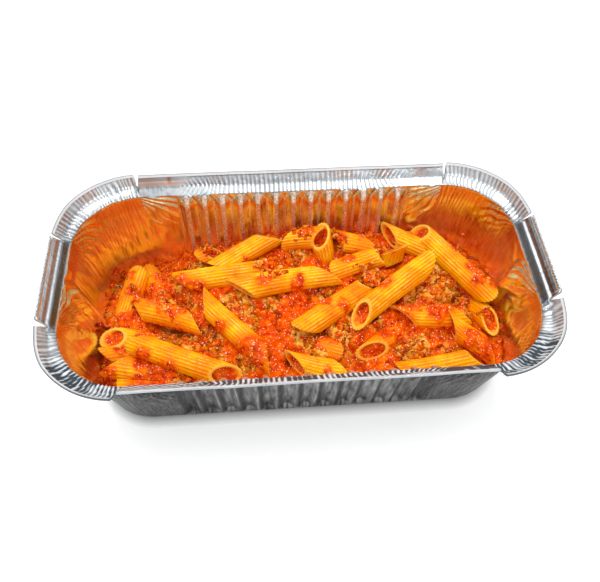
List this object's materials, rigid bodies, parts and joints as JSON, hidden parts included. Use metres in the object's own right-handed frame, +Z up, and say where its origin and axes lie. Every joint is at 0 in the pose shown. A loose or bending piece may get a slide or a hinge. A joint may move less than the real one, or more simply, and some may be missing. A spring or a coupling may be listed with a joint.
{
  "type": "foil tray meal",
  "caption": "Rectangular pressed foil tray with rounded corners and fluted walls, filled with a heap of penne in red meat sauce.",
  "frame": {"origin": "on the surface the tray stands on, under the middle of the tray", "axes": "+X along the tray's length, +Y across it, +Z up"},
  "size_m": [0.2202, 0.1152, 0.062],
  "materials": {
    "foil": "bright creased foil, tinted orange by reflected sauce inside",
    "sauced_pasta": "moist, yellow pasta under glossy red sauce with brown mince"
  },
  "bodies": {
    "root": {"foil_tray": "foil", "penne_in_meat_sauce": "sauced_pasta"}
  },
  "joints": []
}
